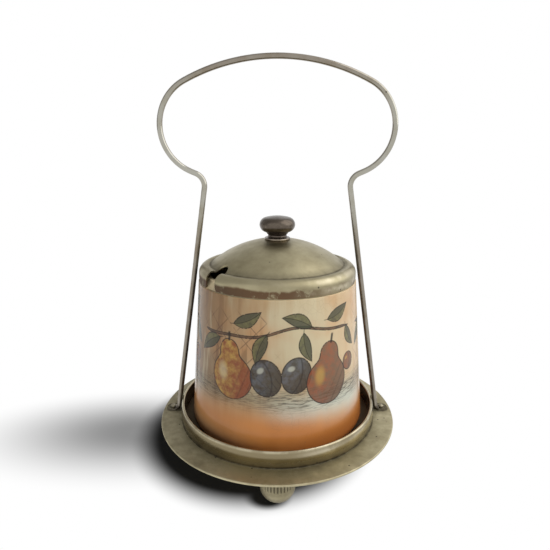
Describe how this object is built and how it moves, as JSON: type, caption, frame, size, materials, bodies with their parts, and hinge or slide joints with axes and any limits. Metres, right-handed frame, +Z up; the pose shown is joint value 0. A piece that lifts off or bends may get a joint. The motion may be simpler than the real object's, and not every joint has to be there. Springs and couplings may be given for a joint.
{
  "type": "preserve jar in stand",
  "caption": "Tapered glazed preserve jar with a loose domed metal lid and knob, standing in a footed round tray with a gallery ring and a tall fixed wire carrying handle.",
  "frame": {"origin": "on the floor under the middle of the round plate, where the three feet stand", "axes": "+Z up along the axis of the jar, +X to the right along the plane of the handle, -Y to the front of the picture"},
  "size_m": [0.1158, 0.1158, 0.1825],
  "materials": {
    "plated_metal": "aged silver-grey plate, softly polished, lightly tarnished",
    "worn_plating": "worn plate with a dull grey-brown tarnish",
    "dark_bronze": "dark oxidised, smooth and satin",
    "glazed_pottery": "glossy clear glaze over tan, cream and orange-brown shading"
  },
  "bodies": {
    "stand": {"stand_plate": "plated_metal", "gallery_ring": "worn_plating", "carry_handle": "worn_plating", "handle_rivets": "worn_plating", "foot_front": "plated_metal", "foot_rear_right": "plated_metal", "foot_rear_left": "plated_metal"},
    "jar": {"jar_body": "glazed_pottery"},
    "lid": {"lid_shell": "plated_metal", "lid_knob": "dark_bronze", "knob_screw": "worn_plating", "knob_washer": "worn_plating"}
  },
  "joints": [
    {"name": "jar_out", "type": "slide", "parent": "stand", "child": "jar", "axis": [0, -0.5736, 0.8192], "range_m": [0, 0.12]},
    {"name": "lid_off", "type": "slide", "parent": "jar", "child": "lid", "axis": [0, -0.5736, 0.8192], "range_m": [0, 0.12]}
  ]
}
